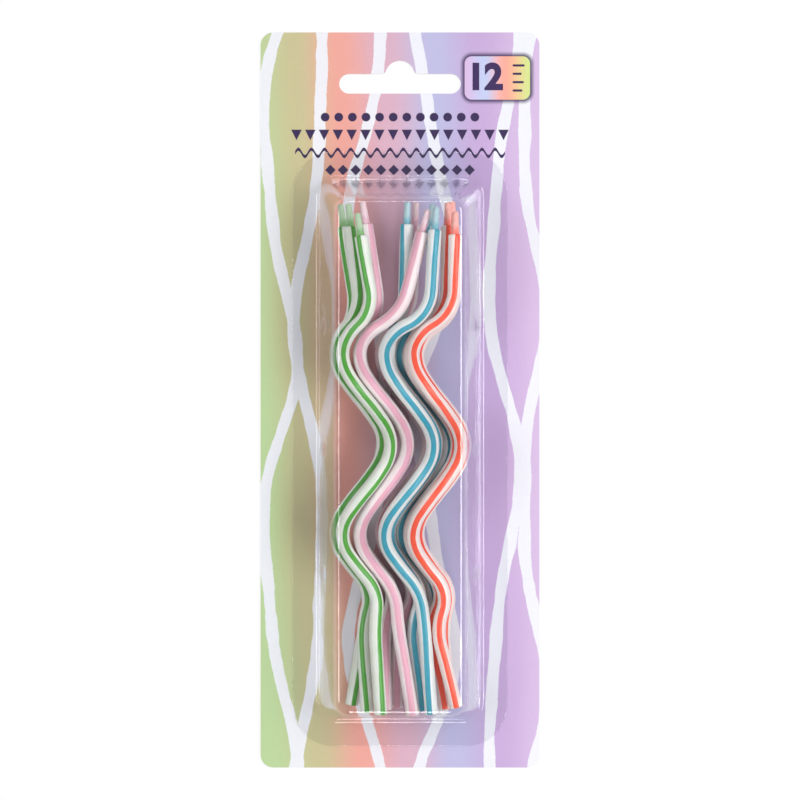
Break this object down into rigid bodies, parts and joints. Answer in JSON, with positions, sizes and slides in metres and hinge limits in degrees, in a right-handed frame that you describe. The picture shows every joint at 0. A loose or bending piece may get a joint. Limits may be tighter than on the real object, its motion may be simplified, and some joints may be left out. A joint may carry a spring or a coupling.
{
  "type": "spiral birthday candle pack",
  "caption": "Hang card with a clear formed blister that holds a nest of thin spiral birthday candles, striped wax with a wick through each, loose in the pocket.",
  "frame": {"origin": "middle of the card's back face, on which the pack lies", "axes": "+X across the card to the right, +Y up the card towards the hang slot, +Z out of the printed front"},
  "size_m": [0.0734, 0.1934, 0.0262],
  "materials": {
    "printed_board": "satin print on white board",
    "clear_sheet": "clear gloss",
    "striped_wax": "satin wax with two coloured stripes",
    "green_wick": "waxed braid",
    "pink_wick": "waxed braid",
    "blue_wick": "waxed braid",
    "orange_wick": "waxed braid"
  },
  "bodies": {
    "card": {"card": "printed_board"},
    "blister": {"blister": "clear_sheet"},
    "candles": {"green_candle_1_wax": "striped_wax", "green_candle_2_wax": "striped_wax", "green_candle_3_wax": "striped_wax", "pink_candle_1_wax": "striped_wax", "pink_candle_2_wax": "striped_wax", "pink_candle_3_wax": "striped_wax", "blue_candle_1_wax": "striped_wax", "blue_candle_2_wax": "striped_wax", "blue_candle_3_wax": "striped_wax", "orange_candle_1_wax": "striped_wax", "orange_candle_2_wax": "striped_wax", "orange_candle_3_wax": "striped_wax", "green_candle_1_wick": "green_wick", "green_candle_2_wick": "green_wick", "green_candle_3_wick": "green_wick", "pink_candle_1_wick": "pink_wick", "pink_candle_2_wick": "pink_wick", "pink_candle_3_wick": "pink_wick", "blue_candle_1_wick": "blue_wick", "blue_candle_2_wick": "blue_wick", "blue_candle_3_wick": "blue_wick", "orange_candle_1_wick": "orange_wick", "orange_candle_2_wick": "orange_wick", "orange_candle_3_wick": "orange_wick"}
  },
  "joints": [
    {"name": "candles_slide", "type": "slide", "parent": "card", "child": "candles", "axis": [0, 1, 0], "range_m": [0, 0.0015]},
    {"name": "blister_lift_off", "type": "slide", "parent": "card", "child": "blister", "axis": [0, 0, 1], "range_m": [0, 0.04]}
  ]
}
